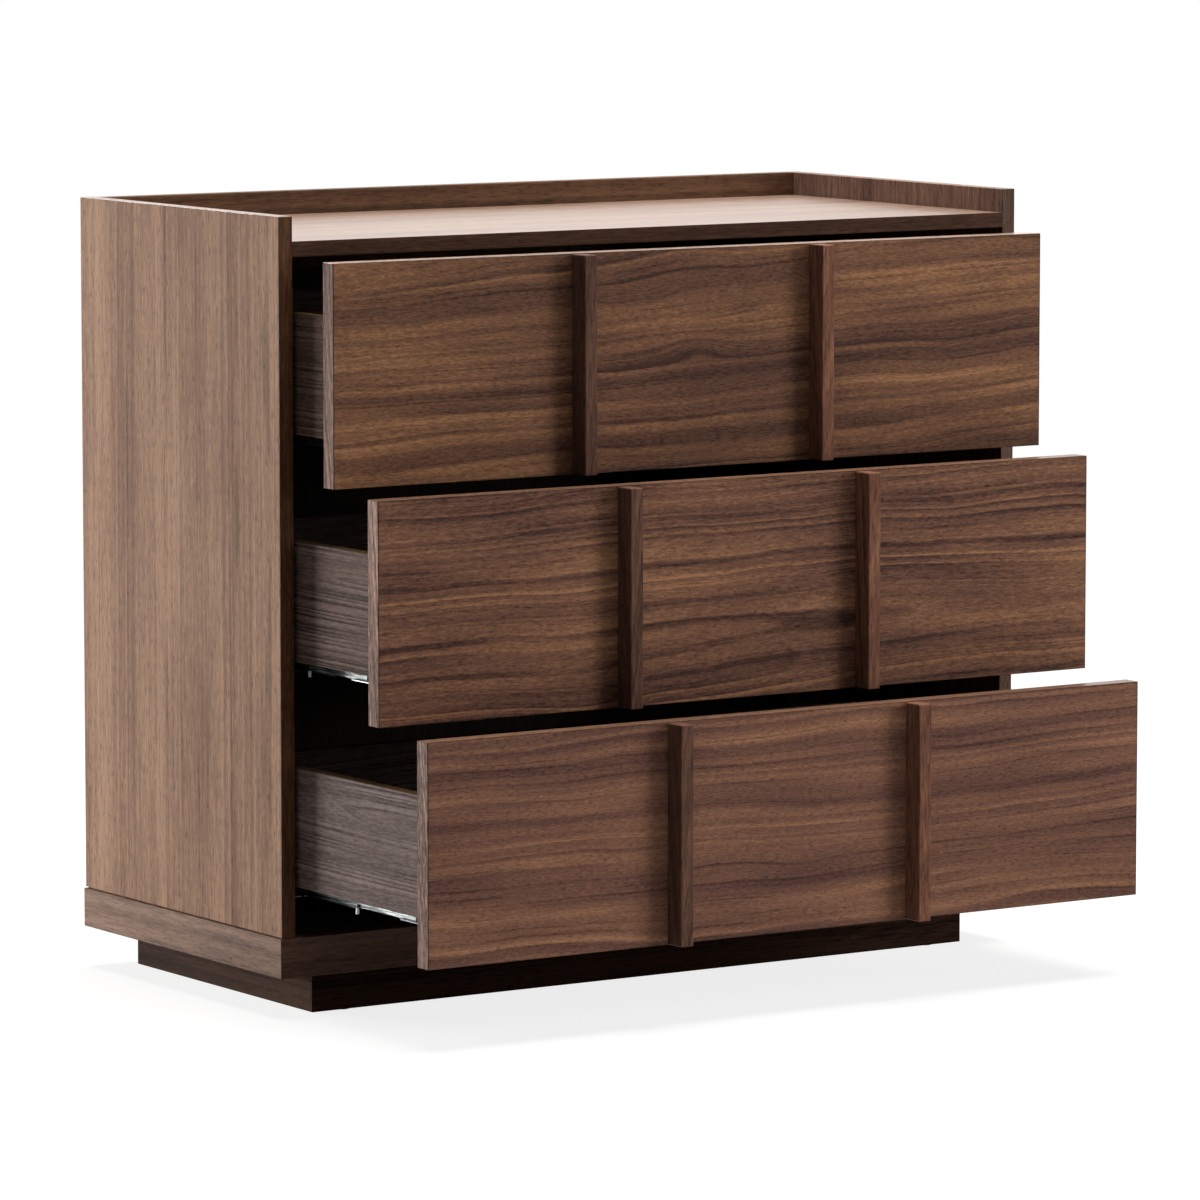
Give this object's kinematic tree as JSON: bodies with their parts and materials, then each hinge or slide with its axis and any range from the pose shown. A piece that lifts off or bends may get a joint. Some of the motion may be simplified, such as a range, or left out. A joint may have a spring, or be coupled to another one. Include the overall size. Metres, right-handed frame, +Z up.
{
  "type": "chest of drawers",
  "caption": "Walnut-veneer chest of drawers with inset flat fronts, upright strip pulls, a low gallery round the top and a recessed plinth; the drawers run on undermount slides.",
  "frame": {"origin": "on the floor, at the underside of the middle glide, under the centre of the carcass", "axes": "+X to the right of someone facing the drawers, -Y out of the front, +Z up"},
  "size_m": [0.904, 0.669, 0.802],
  "materials": {
    "walnut_side": "satin walnut veneer, upright grain",
    "walnut_front": "satin walnut veneer, level crown-cut grain",
    "walnut_pull": "satin walnut, upright grain",
    "walnut_top": "satin walnut veneer, level grain",
    "walnut_gallery": "satin walnut veneer, level grain",
    "walnut_base": "satin walnut veneer, level grain",
    "walnut_plinth": "satin dark walnut veneer, level grain",
    "walnut_floor": "satin walnut veneer, level grain",
    "back_foil": "thin board with walnut-effect foil",
    "raw_board": "bare fibreboard and softwood",
    "box_foil": "grey-brown wood-effect foil on board",
    "box_bottom_foil": "grey-brown wood-effect foil on thin board",
    "beech_dowel": "fluted beech dowel",
    "rail_steel": "zinc-plated steel strip",
    "clip_steel": "zinc-plated steel",
    "plated_screw": "zinc-plated steel",
    "cam_zinc": "die-cast zinc",
    "glide_plastic": "dark nylon glide"
  },
  "bodies": {
    "carcass": {"left_side_panel": "walnut_side", "right_side_panel": "walnut_side", "top_panel": "walnut_top", "gallery_rail": "walnut_gallery", "back_board": "back_foil", "floor_board": "walnut_floor", "under_board": "raw_board", "base_front_edge": "walnut_base", "plinth_front": "walnut_plinth", "base_back_edge": "walnut_base", "plinth_back": "walnut_plinth", "base_left_edge": "walnut_base", "plinth_left": "walnut_plinth", "base_right_edge": "walnut_base", "plinth_right": "walnut_plinth", "plinth_brace": "raw_board", "plinth_corner_blocks": "raw_board", "floor_glides": "glide_plastic", "carcass_screws": "plated_screw", "carcass_dowels": "beech_dowel", "carcass_cams": "cam_zinc", "top_slide_fixed_rails": "rail_steel", "middle_slide_fixed_rails": "rail_steel", "bottom_slide_fixed_rails": "rail_steel"},
    "top_drawer": {"top_drawer_front": "walnut_front", "top_drawer_left_pull": "walnut_pull", "top_drawer_right_pull": "walnut_pull", "top_drawer_left_side": "box_foil", "top_drawer_right_side": "box_foil", "top_drawer_back": "box_foil", "top_drawer_bottom": "box_bottom_foil", "top_drawer_fasteners": "plated_screw", "top_slide_drawer_rails": "rail_steel", "top_slide_clips": "clip_steel"},
    "top_middle_rails": {"top_slide_middle_rails": "rail_steel"},
    "top_clip_levers": {"top_clip_levers": "clip_steel"},
    "middle_drawer": {"middle_drawer_front": "walnut_front", "middle_drawer_left_pull": "walnut_pull", "middle_drawer_right_pull": "walnut_pull", "middle_drawer_left_side": "box_foil", "middle_drawer_right_side": "box_foil", "middle_drawer_back": "box_foil", "middle_drawer_bottom": "box_bottom_foil", "middle_drawer_fasteners": "plated_screw", "middle_slide_drawer_rails": "rail_steel", "middle_slide_clips": "clip_steel"},
    "middle_middle_rails": {"middle_slide_middle_rails": "rail_steel"},
    "middle_clip_levers": {"middle_clip_levers": "clip_steel"},
    "bottom_drawer": {"bottom_drawer_front": "walnut_front", "bottom_drawer_left_pull": "walnut_pull", "bottom_drawer_right_pull": "walnut_pull", "bottom_drawer_left_side": "box_foil", "bottom_drawer_right_side": "box_foil", "bottom_drawer_back": "box_foil", "bottom_drawer_bottom": "box_bottom_foil", "bottom_drawer_fasteners": "plated_screw", "bottom_slide_drawer_rails": "rail_steel", "bottom_slide_clips": "clip_steel"},
    "bottom_middle_rails": {"bottom_slide_middle_rails": "rail_steel"},
    "bottom_clip_levers": {"bottom_clip_levers": "clip_steel"}
  },
  "joints": [
    {"name": "top_drawer_slide", "type": "slide", "parent": "carcass", "child": "top_drawer", "axis": [0, -1, 0], "range_m": [-0.072, 0.258]},
    {"name": "top_rails_slide", "type": "slide", "parent": "carcass", "child": "top_middle_rails", "axis": [0, -1, 0], "range_m": [-0.036, 0.129]},
    {"name": "top_clip_release", "type": "hinge", "parent": "top_drawer", "child": "top_clip_levers", "pos_m": [0, -0.2392, 0.58013], "axis": [1, 0, 0], "range_deg": [0, 8], "stiffness_Nm_per_rad": 0.2},
    {"name": "middle_drawer_slide", "type": "slide", "parent": "carcass", "child": "middle_drawer", "axis": [0, -1, 0], "range_m": [-0.155, 0.175]},
    {"name": "middle_rails_slide", "type": "slide", "parent": "carcass", "child": "middle_middle_rails", "axis": [0, -1, 0], "range_m": [-0.0775, 0.0875]},
    {"name": "middle_clip_release", "type": "hinge", "parent": "middle_drawer", "child": "middle_clip_levers", "pos_m": [0, -0.3222, 0.35347], "axis": [1, 0, 0], "range_deg": [0, 8], "stiffness_Nm_per_rad": 0.2},
    {"name": "bottom_drawer_slide", "type": "slide", "parent": "carcass", "child": "bottom_drawer", "axis": [0, -1, 0], "range_m": [-0.245, 0.085]},
    {"name": "bottom_rails_slide", "type": "slide", "parent": "carcass", "child": "bottom_middle_rails", "axis": [0, -1, 0], "range_m": [-0.1225, 0.0425]},
    {"name": "bottom_clip_release", "type": "hinge", "parent": "bottom_drawer", "child": "bottom_clip_levers", "pos_m": [0, -0.4122, 0.1268], "axis": [1, 0, 0], "range_deg": [0, 8], "stiffness_Nm_per_rad": 0.2}
  ],
  "couplings": [
    {"joint": "top_rails_slide", "follows": "top_drawer_slide", "ratio": 0.5},
    {"joint": "middle_rails_slide", "follows": "middle_drawer_slide", "ratio": 0.5},
    {"joint": "bottom_rails_slide", "follows": "bottom_drawer_slide", "ratio": 0.5}
  ]
}
